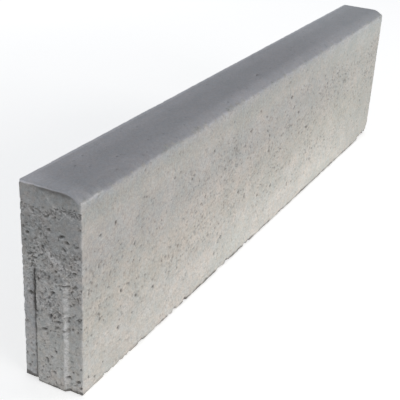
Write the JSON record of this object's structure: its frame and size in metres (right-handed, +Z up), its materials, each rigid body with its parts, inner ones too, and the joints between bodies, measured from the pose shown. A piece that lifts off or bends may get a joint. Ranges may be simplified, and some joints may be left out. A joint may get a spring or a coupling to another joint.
{
  "type": "concrete kerb stone",
  "caption": "Straight precast concrete kerb stone, rectangular with one bevelled top edge, and a shallow tongue and groove in the lower half of its ends.",
  "frame": {"origin": "centre of the bed face, under the middle of the overall length", "axes": "+X along the stone from the tongue end to the groove end, -Y towards the bevelled face, +Z up from the bed"},
  "size_m": [1.004, 0.08, 0.25],
  "materials": {
    "concrete": "matte grey cast concrete, smooth on top, pitted on the faces and rough on the ends"
  },
  "bodies": {
    "root": {"kerb_stone": "concrete"}
  },
  "joints": []
}
